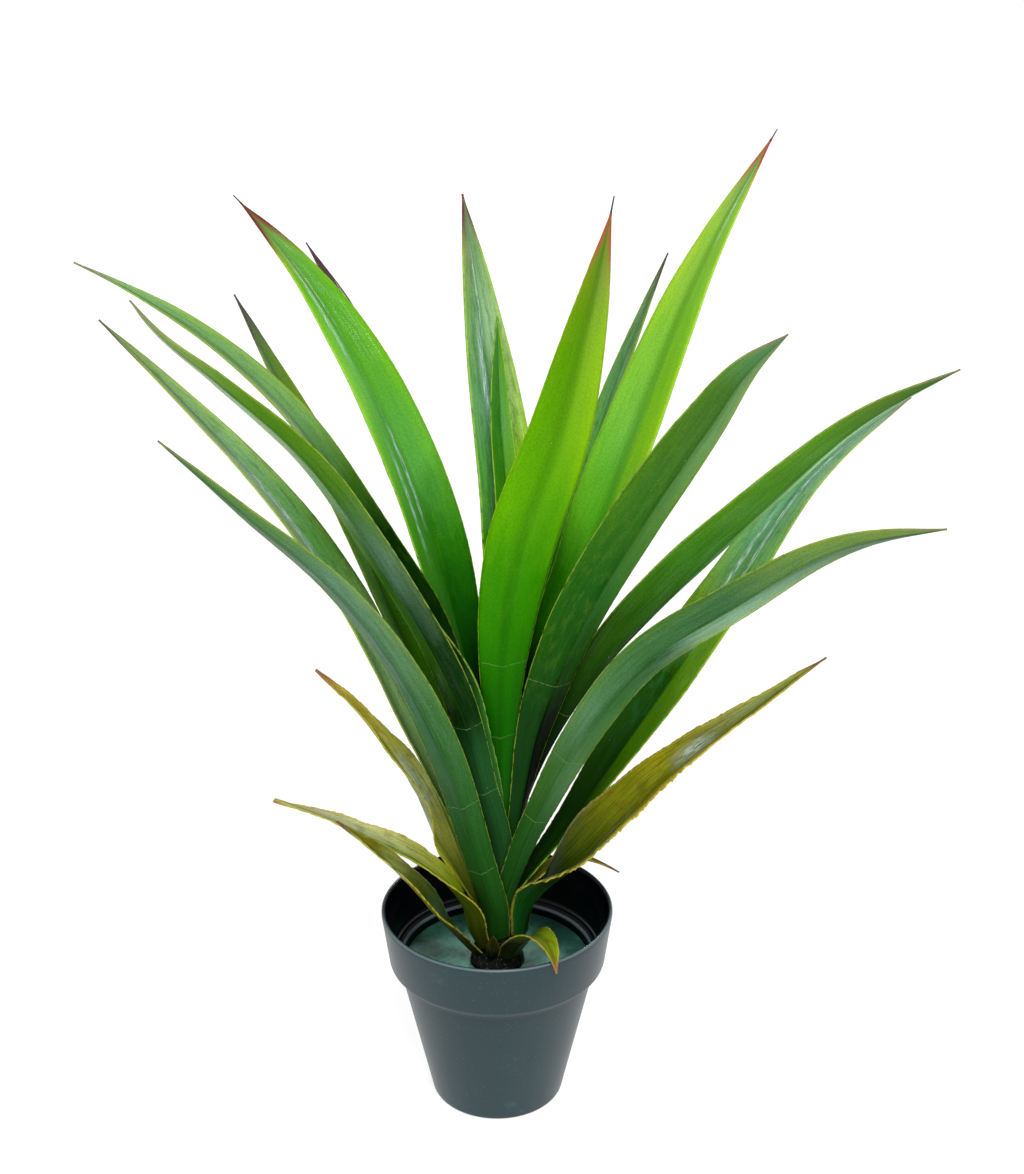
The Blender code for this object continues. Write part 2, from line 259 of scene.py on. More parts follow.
def pot_finish():
    paint = Paint("moulded_slate_plastic")
    x, y, z = paint.parts(paint.object_place)
    radius = paint.node("ShaderNodeMath", {0: x * x + y * y}, operation="SQRT")
    grain = paint.cloud(1100.0, 2.0)
    drift = paint.cloud(14.0, 4.0)
    scuffs = paint.step(paint.cloud(60.0, 6.0, roughness=0.7), 0.60, 0.72)
    dust = paint.step(paint.cloud(900.0, 1.0), 0.70, 0.76)
    colour = paint.blend(tint(32, 50, 54), tint(42, 62, 66), drift)
    colour = paint.blend(colour, tint(84, 100, 104), scuffs * 0.25)
    colour = paint.blend(colour, tint(130, 145, 150), dust * 0.2)
    # Two slanting lines, one within the collar's wall and one within the wall of the neck
    # below it, part the polished inside from the matt outside. The inside is also painted
    # near-black there: painted shade, as the pot's hollow lies in shadow.
    in_collar = 69.7 * MM + (z - LEDGE_TOP) * COLLAR_SLOPE - radius
    in_neck = 62.9 * MM + (z - NECK_FOOT) - radius
    polished_shaded_inside = paint.step(in_collar, -0.8 * MM, 0.8 * MM)
    polished_shaded_inside = polished_shaded_inside * paint.step(in_neck, -0.8 * MM, 0.8 * MM)
    # Painted highlight: a pale line along the top of the rolled rim, and a fainter one at the
    # collar's foot, outside only.
    rim_and_foot_highlight = paint.step(z, RIM_EDGE - 0.8 * MM, RIM_EDGE)
    rim_and_foot_highlight = rim_and_foot_highlight + 0.2 * paint.step(abs(z - COLLAR_FOOT), 0.7 * MM, 0.2 * MM)
    colour = paint.blend(colour, tint(120, 138, 142), rim_and_foot_highlight * (1.0 - polished_shaded_inside) * 0.5)
    # Painted shade: the inside of the pot is painted near-black.
    colour = paint.blend(colour, tint(8, 12, 16), polished_shaded_inside)
    # Painted highlights: two thin bluish-white rings on the ledge's steps, which also get a glossy
    # coat.
    ledge_highlight = paint.step(abs(radius - UPPER_STEP_RADIUS), 0.6 * MM, 0.3 * MM) * 0.4
    ledge_highlight = ledge_highlight + paint.step(abs(radius - LOWER_STEP_RADIUS), 0.8 * MM, 0.3 * MM)
    ledge_highlight = ledge_highlight * paint.step(z, LEDGE_TOP + 0.5 * MM, LEDGE_TOP - 0.5 * MM) * polished_shaded_inside
    colour = paint.blend(colour, tint(136, 160, 176), ledge_highlight * 0.5)
    rough = 0.36 + drift * 0.08 + scuffs * 0.10 - polished_shaded_inside * 0.22
    coat = 0.12 * (1.0 - polished_shaded_inside) + ledge_highlight
    return paint.finish(
        colour, rough, grain, depth=0.06 * MM, strength=0.5, coat_weight=coat,
        coat_roughness=0.12, specular_ior_level=0.22,
    )


# From the middle of the floor up the inside, over the rolled rim and down the outside.
pot_profile = [
    (0, 2.2), (38, 2.2), (41, 3.2),
    (61.2, 96), (61.8, 98.2), (62.6, 100.2), (63.6, 101.2),
    (65.0, 101.6), (65.4, 102.2), (65.5, 103.0), (66.0, 103.4), (67.4, 103.5), (67.9, 103.9),
    (68.3, 105.0), (71.9, 133.6), (72.3, 135.0), (73.0, 135.8), (73.8, 136.0),
    (74.5, 135.7), (74.9, 135.0), (74.95, 133.8), (74.6, 131.2),
    (70.5, 100.8), (70.2, 99.8), (69.6, 99.2), (68.6, 98.6), (67.0, 97.8),
    (65.2, 96.4), (64.0, 94.4), (63.3, 91.4),
    (43.9, 3.4), (43.6, 2.0), (43.1, 1.0), (42.2, 0.3), (41.0, 0.0), (0, 0),
]
pot_mesh = turned_mesh("nursery_pot", pot_profile, POT_TURNS)
add_piece("nursery_pot", pot_mesh, pot_finish(), "pot")

# ---- painted filler ---------------------------------------------------------------------
# A poured block fills the pot to just under the ledge. Its top is brushed with teal paint
# that lies unevenly, and a dip round the middle takes the glue that holds the plant.

FILLER_TURNS = 96
FILLER_TOP_MM = 95.5
FILLER_UNEVENNESS = 0.5 * MM


def filler_finish():
    paint = Paint("brushed_teal_paint")
    patches = paint.cloud(34.0, 5.0, roughness=0.6)
    strokes = paint.cloud(170.0, 4.0, roughness=0.6)
    colour = paint.blend(tint(34, 82, 70), tint(70, 132, 114), paint.step(patches, 0.38, 0.66))
    colour = paint.blend(colour, tint(20, 52, 46), paint.step(strokes, 0.54, 0.72) * 0.7)
    colour = paint.blend(colour, tint(106, 164, 146), paint.step(strokes, 0.30, 0.22) * 0.4)
    height = strokes + patches * 0.5
    return paint.finish(colour, 0.40 + strokes * 0.25, height, depth=0.9 * MM, strength=0.6)


def filler_mesh():
    """The block round its socket and dip, whose brushed top between them is uneven."""
    profile = [(0, 55), (5.7, 55), (5.7, 92.5), (17.0, 92.5), (17.6, 94.4), (18.0, 95.3)]
    profile += [(18.8 + i * 2.3, FILLER_TOP_MM) for i in range(19)]
    profile += [(60.6, 95.2), (60.9, 94.5), (40.6, 2.6), (0, 2.6)]
    mesh = turned_mesh("painted_filler", profile, FILLER_TURNS)
    for vert in mesh.vertices:
        radius = math.hypot(vert.co.x, vert.co.y)
        if 18.5 * MM < radius < 60.0 * MM and vert.co.z > 90.0 * MM:
            vert.co.z += FILLER_UNEVENNESS * noise.noise(vert.co * 70.0)
    return mesh


add_piece("painted_filler", filler_mesh(), filler_finish(), "filler_block")

# ---- stem -------------------------------------------------------------------------------
# A plain tapered core of moulded plastic that stands in the filler. The leaves are fixed
# to it and hide nearly all of it, so its node keeps its shape and is only painted.


def stem_finish():
    paint = Paint("stem_green_plastic")
    marks = paint.cloud(180.0, 3.0)
    colour = paint.blend(tint(28, 66, 24), tint(52, 92, 38), marks)
    return paint.finish(colour, 0.5, marks, depth=0.6 * MM, specular_ior_level=0.25)


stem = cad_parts["stem"]
stem.data.materials.clear()
stem.data.materials.append(stem_finish())

# ---- leaves -----------------------------------------------------------------------------
# Long sword leaves injection-moulded in soft plastic over a core wire, then sprayed in
# greens and browns. Each is one blade, folded to a shallow V along its midrib. Its route is
# given by points in millimetres from its seat on the stem to its tip.

ROW_SPACING = 1.6 * MM
WIDTH_STEPS = 16
BLADE_THICKNESS = 0.9 * MM
BASE_EXTRA_FOLD = 12.0
FRILL_START = 0.10
FRILL_END = 0.72

# How each sort of leaf is moulded and painted, before what is its own in LEAF_PAINTS.
# ragged, wave and rim are millimetres. margin and tip colour the edge and the end, and
# tip_from is where the browning starts. The dark line beside the midrib, given by its place
# and width as shares of the half width and its strength, is painted shade where the fold is
# shaded. glow is how much yellower and lighter the blade is toward its edges, partly its own
# yellow-green and partly painted light, and soft how gently one half passes into the other.
LEAF_SORTS = {
    "green": {
        "margin": (146, 168, 62), "tip": (122, 120, 90), "tip_from": 0.95, "rim": 0.45,
        "ragged": 0.55, "wave": 0.8, "rough": 0.36, "glint": 0.45,
        "streak": 0.40, "blotch": 0.15, "spots": (60, 96, 24),
        "crease_shade": (0.04, 0.30, 0.55), "glow": 0.8, "soft": 0.06, "slot": "leaf_green",
    },
    "bright": {
        "margin": (166, 200, 70), "tip": (150, 62, 44), "tip_from": 0.90, "rim": 0.4,
        "ragged": 0.40, "wave": 0.8, "rough": 0.34, "glint": 0.40,
        "streak": 0.25, "blotch": 0.10, "spots": (110, 170, 20),
        "crease_shade": (0.04, 0.26, 0.5), "glow": 0.7, "soft": 0.12, "slot": "leaf_bright",
    },
    "old": {
        "margin": (178, 168, 64), "tip": (140, 88, 58), "tip_from": 0.90, "rim": 0.6,
        "ragged": 1.0, "wave": 4.0, "rough": 0.30, "glint": 0.50,
        "streak": 0.70, "blotch": 0.50, "spots": (104, 88, 22),
        "crease_shade": (0.05, 0.34, 0.55), "glow": 0.4, "soft": 0.10, "slot": "leaf_old",
    },
}

# What only some leaves have. frill is which half's edge is frilled and by how many
# millimetres, lines holds the places of fine cross lines along the blade, and each streak of
# painted highlight, a whitish glare, has a place and a width across it, and a start and an
# end along it.
PLAIN_LEAF = {"frill": (0, 0.0), "lines": [], "painted_glare": []}

# The colours of each blade at shares of its length, from its base to its tip. They are its
# sprayed greens and browns with painted light in them: painted shade where other leaves and
# the crowded base shade it, and painted highlight where a half is lit or mirrors the light.
# Where its two halves differ, right_shades holds those of the half to the right of the
# midrib, seen from the side that the fold points to.
LEAF_PAINTS = {
    "leaf_left_high": {
        "sort": "green", "glint": 0.7,
        "shades": [(0, (34, 88, 34)), (0.2, (30, 78, 28)), (0.32, (14, 42, 6)),
                   (0.46, (18, 48, 4)), (0.56, (56, 100, 30)), (0.66, (112, 158, 96)),
                   (0.85, (120, 164, 100)), (1, (136, 174, 126))],
        "right_shades": [(0, (46, 102, 48)), (0.2, (48, 104, 44)), (0.32, (24, 70, 10)),
                         (0.5, (34, 84, 18)), (0.64, (142, 172, 136)), (0.78, (122, 160, 114)),
                         (1, (96, 142, 88))],
    },
    "leaf_left_front": {
        "sort": "green",
        "shades": [(0, (42, 76, 44)), (0.2, (32, 70, 36)), (0.3, (14, 44, 8)),
                   (0.42, (54, 106, 14)), (0.52, (50, 100, 18)), (0.66, (132, 170, 128)),
                   (0.8, (166, 190, 166)), (1, (176, 190, 170))],
        "right_shades": [(0, (38, 76, 38)), (0.2, (40, 82, 44)), (0.3, (14, 46, 10)),
                         (0.42, (22, 52, 20)), (0.54, (80, 112, 88)), (0.66, (72, 114, 36)),
                         (0.8, (80, 126, 30)), (1, (140, 158, 104))],
        "lines": [0.165, 0.273],
    },
    "leaf_left_back": {
        "sort": "green", "glint": 0.9, "tip": (84, 84, 70), "blotch": 0.3,
        "painted_glare": [(0.05, 0.28, 0.46, 0.76)],
        "shades": [(0, (60, 90, 40)), (0.25, (120, 150, 90)), (0.45, (124, 164, 110)),
                   (0.6, (98, 156, 80)), (0.8, (140, 184, 130)), (1, (134, 158, 88))],
        "right_shades": [(0, (50, 70, 28)), (0.25, (120, 140, 70)), (0.5, (130, 170, 110)),
                         (0.75, (152, 176, 148)), (1, (130, 150, 118))],
    },
    "leaf_left_low": {
        "sort": "green",
        "shades": [(0, (38, 80, 24)), (0.2, (42, 82, 36)), (0.32, (62, 98, 64)),
                   (0.42, (52, 100, 60)), (0.6, (84, 118, 98)), (0.8, (88, 118, 94)),
                   (0.9, (70, 108, 62)), (1, (80, 120, 70))],
        "right_shades": [(0, (34, 74, 26)), (0.2, (42, 88, 36)), (0.4, (62, 106, 60)),
                         (0.55, (86, 122, 88)), (0.68, (92, 128, 104)), (0.8, (82, 122, 78)),
                         (1, (90, 122, 66))],
        "lines": [0.135, 0.253],
    },
    "leaf_left_inner": {
        "sort": "green", "tip": (86, 78, 76), "tip_from": 0.90,
        "shades": [(0, (50, 110, 10)), (0.3, (78, 136, 26)), (0.45, (66, 114, 34)),
                   (0.6, (80, 124, 42)), (0.8, (98, 134, 50)), (1, (96, 120, 76))],
        "right_shades": [(0, (60, 110, 40)), (0.42, (136, 188, 106)), (0.6, (130, 180, 90)),
                         (0.85, (116, 144, 104)), (1, (114, 138, 104))],
    },
    "leaf_upper_left": {
        "sort": "bright", "tip": (112, 58, 46), "glint": 0.10, "glow": 1.0,
        "crease_shade": (0.10, 0.28, 0.55),
        "painted_glare": [(0.12, 0.10, 0.44, 0.60), (0.48, 0.10, 0.40, 0.56),
                 (0.42, 0.16, 0.70, 0.88), (0.05, 0.08, 0.76, 0.90)],
        "shades": [(0, (14, 56, 4)), (0.2, (16, 66, 5)), (0.3, (20, 80, 4)),
                   (0.42, (42, 110, 18)), (0.54, (88, 158, 68)), (0.66, (90, 160, 48)),
                   (0.8, (86, 158, 38)), (1, (112, 158, 84))],
        "right_shades": [(0, (20, 72, 10)), (0.28, (56, 118, 36)), (0.42, (68, 142, 42)),
                         (0.54, (92, 165, 70)), (0.66, (114, 186, 84)), (0.8, (102, 174, 56)),
                         (0.9, (118, 166, 66)), (1, (134, 174, 124))],
    },
    "leaf_upper_left_back": {
        "sort": "green", "tip": (84, 64, 66), "tip_from": 0.84,
        "shades": [(0, (50, 96, 34)), (0.6, (84, 146, 60)), (0.85, (110, 164, 84)),
                   (1, (124, 150, 104))],
    },
    "leaf_top_centre": {
        "sort": "bright", "tip": (96, 60, 64), "tip_from": 0.92, "blotch": 0.40, "glint": 1.0,
        "spots": (66, 116, 54), "margin": (150, 196, 50), "streak": 0.6, "rim": 0.9,
        "painted_glare": [(0.30, 0.16, 0.60, 0.78), (0.1, 0.10, 0.76, 0.92)],
        "shades": [(0, (60, 130, 34)), (0.45, (130, 190, 34)), (0.56, (150, 204, 50)),
                   (0.66, (160, 198, 124)), (0.78, (142, 180, 134)), (0.9, (114, 152, 100)),
                   (1, (114, 148, 108))],
        "right_shades": [(0, (50, 118, 30)), (0.42, (58, 126, 32)), (0.54, (80, 148, 76)),
                         (0.66, (100, 154, 114)), (0.8, (112, 156, 104)), (1, (140, 136, 104))],
    },
    "leaf_top_small": {
        "sort": "bright", "tip": (70, 130, 60), "tip_from": 0.98, "glint": 0.6,
        "shades": [(0, (66, 144, 26)), (0.65, (94, 158, 20)), (0.78, (94, 154, 72)),
                   (0.9, (86, 148, 52)), (1, (66, 126, 40))],
        "right_shades": [(0, (48, 110, 20)), (0.65, (56, 118, 26)), (0.78, (50, 114, 34)),
                         (1, (76, 130, 60))],
    },
    "leaf_front_centre": {
        "sort": "bright", "tip": (166, 86, 58), "tip_from": 0.92, "glint": 0.10,
        "crease_shade": (-0.10, 0.30, 0.62), "streak": 0.12, "margin": (150, 190, 40), "soft": 0.45,
        "shades": [(0, (26, 92, 10)), (0.18, (24, 84, 4)), (0.3, (40, 114, 5)),
                   (0.42, (58, 132, 8)), (0.55, (84, 152, 10)), (0.78, (84, 140, 10)),
                   (0.9, (102, 138, 26)), (1, (88, 134, 46))],
        "right_shades": [(0, (34, 96, 30)), (0.18, (34, 108, 16)), (0.42, (56, 136, 12)),
                         (0.55, (92, 164, 22)), (0.66, (118, 178, 28)), (0.8, (130, 178, 40)),
                         (0.9, (128, 156, 60)), (1, (118, 140, 56))],
        "lines": [0.155, 0.28],
    },
    "leaf_upper_right_back": {
        "sort": "green", "tip": (84, 76, 68), "tip_from": 0.92, "glint": 0.7, "blotch": 0.4,
        "shades": [(0, (34, 104, 10)), (0.5, (70, 150, 24)), (0.65, (112, 172, 84)),
                   (0.78, (112, 158, 104)), (0.9, (96, 130, 92)), (1, (104, 130, 96))],
        "right_shades": [(0, (34, 104, 10)), (0.45, (50, 140, 14)), (0.6, (96, 160, 66)),
                         (0.78, (92, 136, 92)), (1, (110, 136, 100))],
    },
    "leaf_upper_right": {
        "sort": "bright", "tip": (170, 74, 54), "tip_from": 0.93, "glint": 0.35,
        "crease_shade": (0.10, 0.28, 0.75), "soft": 0.16, "painted_glare": [(-0.1, 0.2, 0.84, 0.95)],
        "shades": [(0, (60, 140, 24)), (0.42, (136, 202, 50)), (0.54, (144, 208, 44)),
                   (0.7, (130, 198, 56)), (0.9, (146, 200, 80)), (1, (130, 198, 108))],
        "right_shades": [(0, (8, 36, 3)), (0.18, (8, 40, 4)), (0.3, (44, 110, 6)),
                         (0.42, (96, 176, 42)), (0.54, (118, 188, 72)), (0.7, (132, 188, 60)),
                         (0.84, (142, 186, 70)), (1, (118, 142, 98))],
    },
    "leaf_right_front": {
        "sort": "green", "blotch": 0.22, "spots": (84, 118, 40), "glint": 0.05,
        "shades": [(0, (26, 60, 26)), (0.3, (28, 62, 26)), (0.42, (34, 78, 22)),
                   (0.54, (36, 86, 28)), (0.68, (56, 104, 34)), (0.88, (70, 110, 46)),
                   (1, (84, 134, 92))],
        "right_shades": [(0, (4, 14, 2)), (0.18, (4, 18, 2)), (0.3, (10, 26, 6)),
                         (0.42, (34, 82, 16)), (0.54, (60, 124, 50)), (0.66, (88, 144, 60)),
                         (0.8, (114, 160, 96)), (1, (124, 158, 104))],
        "lines": [0.362],
    },
    "leaf_right_high": {
        "sort": "green",
        "shades": [(0, (12, 32, 10)), (0.18, (15, 36, 11)), (0.3, (32, 62, 20)),
                   (0.42, (46, 88, 20)), (0.54, (58, 114, 31)), (0.8, (78, 128, 42)),
                   (0.9, (76, 110, 44)), (1, (64, 100, 48))],
        "right_shades": [(0, (12, 32, 10)), (0.42, (24, 60, 10)), (0.54, (48, 122, 16)),
                         (0.66, (124, 182, 104)), (0.78, (136, 194, 122)), (1, (88, 138, 72))],
        "lines": [0.247],
    },
    "leaf_right_back": {
        "sort": "green", "glint": 1.0, "blotch": 0.35, "spots": (50, 112, 72),
        "painted_glare": [(0.0, 0.12, 0.50, 0.90), (0.35, 0.10, 0.50, 0.72)],
        "shades": [(0, (30, 98, 24)), (0.18, (34, 74, 6)), (0.3, (80, 128, 12)),
                   (0.42, (88, 134, 16)), (0.54, (116, 168, 42)), (0.66, (126, 186, 108)),
                   (0.8, (130, 178, 142)), (1, (140, 172, 150))],
        "right_shades": [(0, (24, 46, 13)), (0.18, (31, 58, 20)), (0.42, (36, 78, 20)),
                         (0.54, (114, 160, 40)), (0.66, (107, 162, 114)), (0.8, (110, 161, 122)),
                         (1, (134, 170, 144))],
    },
    "leaf_right_arch": {
        "sort": "green",
        "shades": [(0, (28, 60, 20)), (0.18, (38, 80, 30)), (0.3, (62, 102, 48)),
                   (0.42, (80, 120, 84)), (0.54, (60, 105, 59)), (0.68, (64, 104, 66)),
                   (0.84, (102, 134, 72)), (1, (114, 136, 72))],
        "right_shades": [(0, (46, 100, 36)), (0.18, (56, 104, 52)), (0.3, (86, 124, 82)),
                         (0.42, (68, 117, 67)), (0.54, (48, 98, 51)), (0.66, (138, 178, 146)),
                         (0.8, (112, 146, 116)), (1, (44, 72, 38))],
        "lines": [0.205, 0.325],
    },
    "old_leaf_right": {
        "sort": "old", "frill": (-1, 3.4), "tip": (118, 90, 62), "tip_from": 0.95, "wave": 2.5,
        "rim": 1.4, "painted_glare": [(0.2, 0.5, 0.60, 0.70)], "crease_shade": (-0.15, 0.6, 0.75),
        "streak": 0.9,
        "shades": [(0, (38, 100, 44)), (0.1, (34, 94, 36)), (0.2, (36, 52, 14)),
                   (0.3, (84, 86, 22)), (0.42, (150, 144, 38)), (0.58, (176, 156, 38)),
                   (0.68, (188, 172, 84)), (1, (124, 122, 56))],
        "right_shades": [(0, (30, 70, 12)), (0.18, (38, 56, 12)), (0.3, (90, 100, 26)),
                         (0.42, (124, 126, 28)), (0.56, (146, 142, 30)), (0.68, (128, 130, 54)),
                         (0.8, (150, 156, 100)), (1, (124, 138, 66))],
    },
    "old_leaf_left_high": {
        "sort": "old", "tip": (150, 104, 66), "tip_from": 0.93, "blotch": 0.35,
        "painted_glare": [(-0.3, 0.4, 0.40, 0.62)],
        "shades": [(0, (126, 134, 44)), (0.2, (148, 156, 60)), (0.32, (200, 200, 96)),
                   (0.5, (222, 224, 140)), (0.66, (198, 192, 92)), (0.8, (196, 176, 70)),
                   (1, (206, 166, 88))],
        "right_shades": [(0, (180, 184, 50)), (0.22, (190, 194, 50)), (0.42, (126, 138, 44)),
                         (0.55, (112, 126, 36)), (0.75, (146, 144, 54)), (1, (180, 150, 80))],
    },
    "old_leaf_left_low": {
        "sort": "old", "blotch": 0.4, "tip": (150, 104, 70), "tip_from": 0.96,
        "shades": [(0, (84, 94, 18)), (0.3, (124, 140, 20)), (0.42, (152, 156, 72)),
                   (0.55, (182, 186, 126)), (0.68, (194, 196, 154)), (0.85, (180, 176, 148)),
                   (1, (160, 150, 100))],
        "right_shades": [(0, (52, 56, 20)), (0.18, (68, 80, 20)), (0.3, (96, 112, 10)),
                         (0.45, (140, 156, 60)), (0.6, (176, 180, 96)), (1, (168, 168, 100))],
    },
    "old_leaf_left_front": {
        "sort": "old", "tip": (122, 84, 52), "tip_from": 0.93,
        "shades": [(0, (36, 50, 12)), (0.18, (38, 54, 14)), (0.3, (66, 92, 60)),
                   (0.42, (58, 82, 36)), (0.54, (88, 98, 42)), (0.66, (150, 158, 90)),
                   (0.8, (116, 120, 34)), (1, (130, 124, 38))],
        "right_shades": [(0, (46, 44, 12)), (0.18, (84, 90, 16)), (1, (108, 110, 38))],
    },
    "curled_leaf_front": {
        "sort": "old", "wave": 1.5, "tip": (150, 100, 70),
        "shades": [(0, (60, 68, 20)), (0.3, (56, 56, 12)), (0.45, (110, 130, 24)),
                   (0.75, (122, 136, 22)), (1, (112, 104, 34))],
        "right_shades": [(0, (64, 70, 20)), (0.5, (96, 124, 30)), (0.7, (126, 148, 32)),
                         (1, (128, 140, 44))],
    },
    "sheath_front": {
        "sort": "old", "wave": 1.0, "blotch": 0.3, "margin": (74, 78, 34),
        "shades": [(0, (34, 32, 12)), (1, (52, 54, 20))], "tip": (60, 60, 26),
    },
    "old_leaf_back_right": {
        "sort": "old", "wave": 1.0,
        "shades": [(0, (84, 100, 34)), (0.5, (120, 126, 48)), (1, (128, 104, 52))],
    },
}

# Each blade's form, where it isn't the usual one. width is its widest in millimetres. fold
# is how steeply its halves rise from the keel, keel the two headings that the keel faces, at
# the seat and from half way on, and roll how far the blade leans over, all in degrees. neck
# is the width at the seat as a share of the widest, belly the place where it is widest, and
# a higher taper keeps it broad for longer.
USUAL_FORM = {"fold": 25, "roll": 0, "belly": 0.45, "taper": 1.8}
LEAVES = {
    "leaf_left_high": {
        "width": 32, "keel": (-100, 178), "roll": -18, "neck": 0.36,
        "route": [(0.9, -6.6, 190), (-1.8, -10.2, 224), (-9.5, -12, 262), (-20, -12, 309),
                  (-70, -9, 393), (-125, -5, 477), (-169, -5, 517), (-203, -5, 539),
                  (-236, -5, 556)],
    },
    "leaf_left_front": {
        "width": 25, "keel": (-90, 190), "roll": 50, "neck": 0.74, "belly": 0.55,
        "route": [(4.2, -7.3, 156), (1.6, -12.3, 192), (-7.5, -18, 230), (-23, -24, 295),
                  (-64, -27, 380), (-109, -29, 450), (-153, -32, 493), (-187, -34, 524),
                  (-200, -34, 541)],
    },
    "leaf_left_back": {
        "width": 36, "keel": (185, 183), "roll": -25, "neck": 0.25,
        "route": [(-7, 0.5, 125), (-30, 3, 200), (-59, 3, 277), (-85, 0, 341), (-119, -4, 402),
                  (-172, -8, 469), (-223, -12, 525)],
    },
    "leaf_left_low": {
        "width": 26, "keel": (-98, 208), "roll": 42, "neck": 0.82, "belly": 0.42,
        "route": [(-0.8, -11.4, 118.2), (-1.7, -16.2, 142.5), (-9, -20.5, 173), (-29, -28, 252),
                  (-51, -42, 313), (-87, -64, 379), (-136, -88, 437), (-176, -104, 482)],
    },
    "leaf_left_inner": {
        "width": 34, "keel": (150, 155), "roll": -10, "neck": 0.26,
        "route": [(-4, 4.5, 198), (-30, 20, 249), (-63, 33, 326), (-95, 46, 398),
                  (-133, 62, 471), (-159, 72, 521)],
    },
    "leaf_upper_left": {
        "width": 45, "fold": 22, "keel": (125, 140), "roll": -10, "neck": 0.2, "taper": 2.3,
        "route": [(-3, 4.6, 208), (-21, 22, 313), (-57, 54, 428), (-119, 104, 526),
                  (-161, 132, 566)],
    },
    "leaf_upper_left_back": {
        "width": 34, "fold": 20, "keel": (105, 130), "neck": 0.25,
        "route": [(3.5, 8.4, 224), (-6, 30, 274), (-26, 50, 335), (-65, 84, 422),
                  (-99, 124, 504), (-122, 142, 539)],
    },
    "leaf_top_centre": {
        "width": 39, "fold": 20, "keel": (70, 104), "neck": 0.25, "taper": 2,
        "route": [(3.5, 4.6, 231), (9, 17, 345), (7, 24, 407), (-6, 45, 499), (-20, 80, 580)],
    },
    "leaf_top_small": {
        "width": 16, "fold": 20, "keel": (60, 95), "neck": 0.3, "belly": 0.5, "taper": 3.2,
        "route": [(1.2, -0.5, 236.6), (7, 8, 410), (3, 18, 460), (1, 30, 517)],
    },
    "leaf_front_centre": {
        "width": 45, "fold": 18, "keel": (-75, -82), "neck": 0.33, "belly": 0.5,
        "route": [(3.5, -4.3, 200), (3.5, -9.5, 272), (5, -14, 318), (16, -22, 394),
                  (36, -33, 461), (51, -48, 532), (61, -70, 595)],
    },
    "leaf_upper_right_back": {
        "width": 22, "fold": 20, "keel": (60, 50), "neck": 0.3,
        "route": [(4.4, 5.1, 207), (25, 52, 322), (53, 80, 392), (74, 104, 452), (109, 134, 534)],
    },
    "leaf_upper_right": {
        "width": 52, "fold": 20, "keel": (0, 42), "neck": 0.18, "belly": 0.42,
        "route": [(5.6, 2.2, 222), (28, 14, 310), (57, 38, 368), (84, 66, 433), (127, 112, 528),
                  (174, 155, 602)],
    },
    "leaf_right_front": {
        "width": 45, "keel": (-50, -14), "roll": -50, "neck": 0.25, "belly": 0.58,
        "taper": 3.2,
        "route": [(6.5, -3.2, 160), (15, -8, 216), (24, -15, 269), (48, -22, 341),
                  (81, -30, 407), (118, -36, 469), (143, -40, 507), (161, -42, 524)],
    },
    "leaf_right_high": {
        "width": 47, "keel": (5, 2), "roll": -50, "neck": 0.25, "belly": 0.5,
        "route": [(5.2, 1.3, 172), (33, 8, 251), (66, 11, 306), (107, 12, 355), (158, 12, 406),
                  (216, 12, 459), (271, 12, 490)],
    },
    "leaf_right_back": {
        "width": 46, "fold": 20, "keel": (20, 22), "roll": 15, "neck": 0.35,
        "route": [(5.2, 1.7, 138), (40, 16, 180), (84, 32, 242), (146, 56, 330), (202, 82, 404),
                  (265, 105, 447)],
    },
    "leaf_right_arch": {
        "width": 31, "keel": (-75, -28), "roll": -60, "neck": 0.5, "belly": 0.6,
        "route": [(0, -7.4, 126), (8.7, -13.8, 163), (19, -18.5, 196.5), (27.7, -22, 219),
                  (49, -34, 270), (84, -50, 329), (133, -76, 377), (190, -109, 426),
                  (235, -132, 443)],
    },
    "old_leaf_right": {
        "width": 61, "keel": (-58, -28), "roll": 33, "neck": 0.27, "belly": 0.29,
        "taper": 0.9,
        "route": [(15.7, -5.4, 117.8), (17.8, -10.2, 138), (25, -15.8, 158.5), (53.5, -28, 195),
                  (103, -52, 262.5), (150, -79, 317), (184, -95, 354)],
    },
    "old_leaf_left_high": {
        "width": 34, "keel": (150, 190), "roll": -15, "neck": 0.22, "belly": 0.4,
        "taper": 1.4,
        "route": [(-5.5, 7, 119.4), (-34, 13, 174), (-48, 9, 215), (-77, 0, 266),
                  (-110, -8, 307)],
    },
    "old_leaf_left_low": {
        "width": 27, "keel": (232, 200), "roll": -20, "neck": 0.62, "belly": 0.16,
        "taper": 1.5,
        "route": [(-8.7, -12.9, 113.2), (-14.5, -17, 128), (-18.5, -19.5, 149.5),
                  (-31, -19, 167), (-46, -18, 179), (-84, -28, 206.5), (-133, -48, 240)],
    },
    "old_leaf_left_front": {
        "width": 25, "fold": 22, "keel": (215, 212), "roll": -25, "neck": 0.6,
        "route": [(-14, -8.6, 106.8), (-32, -23, 139), (-58, -43.5, 187), (-95, -64, 233)],
    },
    "curled_leaf_front": {
        "width": 23, "fold": 15, "keel": (-72, -60), "neck": 0.74, "belly": 0.3,
        "route": [(8.2, -15.4, 107.3), (13.5, -26, 124), (25, -42, 141), (33, -59, 143),
                  (37, -75, 134)],
    },
    "sheath_front": {
        "width": 9, "keel": (-98, -98), "neck": 0.8, "belly": 0.4, "taper": 2.6,
        "route": [(-3.5, -16.6, 107.5), (-2.8, -19.8, 116), (-2, -21, 126)],
    },
    "old_leaf_back_right": {
        "width": 12, "keel": (40, 20), "neck": 0.4,
        "route": [(6.5, 7, 119), (26, 14, 150), (48, 22, 159), (64, 29, 152), (81, 35, 140)],
    },
}


